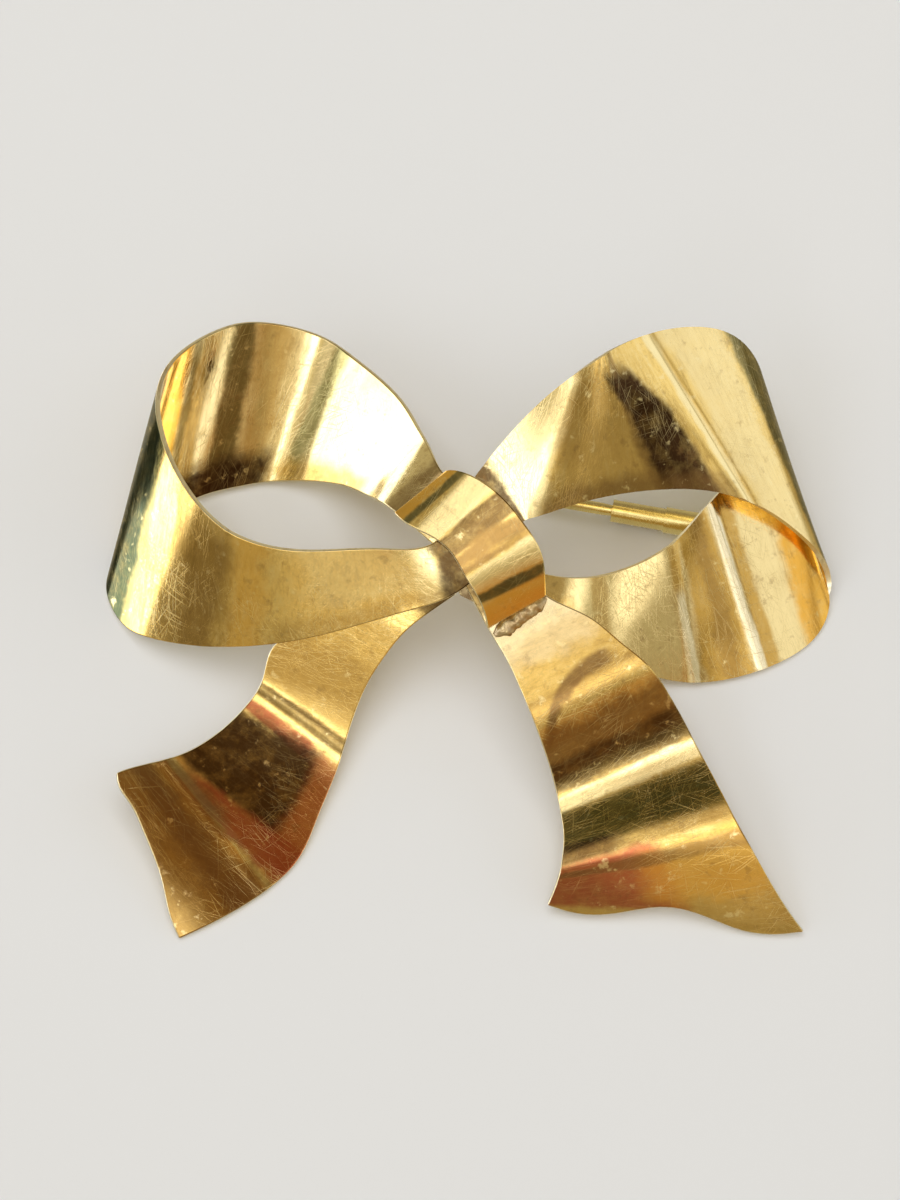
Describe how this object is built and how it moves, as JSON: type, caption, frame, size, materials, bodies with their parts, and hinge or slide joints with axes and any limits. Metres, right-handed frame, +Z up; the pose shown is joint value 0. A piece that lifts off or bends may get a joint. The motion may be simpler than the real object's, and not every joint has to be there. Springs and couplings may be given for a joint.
{
  "type": "bow brooch",
  "caption": "Yellow metal brooch in the form of a tied ribbon bow, with open loops, wavy tails, a wrapped knot and a hinged pin behind.",
  "frame": {"origin": "on the surface it lies on, under the middle of the outline seen from above", "axes": "+X across the bow towards its right loop, +Y across towards the tops of the loops, away from the tails, +Z up, out of the bow's face"},
  "size_m": [0.0528, 0.0443, 0.0161],
  "materials": {
    "loop_gold": "polished, with fine scratches",
    "tail_gold": "polished, duller at the ends",
    "band_gold": "polished, worn and scratched",
    "fitting_gold": "satin"
  },
  "bodies": {
    "bow": {"left_loop": "loop_gold", "right_loop": "loop_gold", "left_tail": "tail_gold", "right_tail": "tail_gold", "knot_band": "band_gold", "pin_hinge": "fitting_gold", "pin_catch": "fitting_gold"},
    "pin": {"pin_stem": "fitting_gold"}
  },
  "joints": [
    {"name": "pin_swing", "type": "hinge", "parent": "bow", "child": "pin", "pos_m": [-0.01078, 0.01419, 0.0014], "axis": [0.188, 0.9822, 0], "range_deg": [0, 80]}
  ]
}
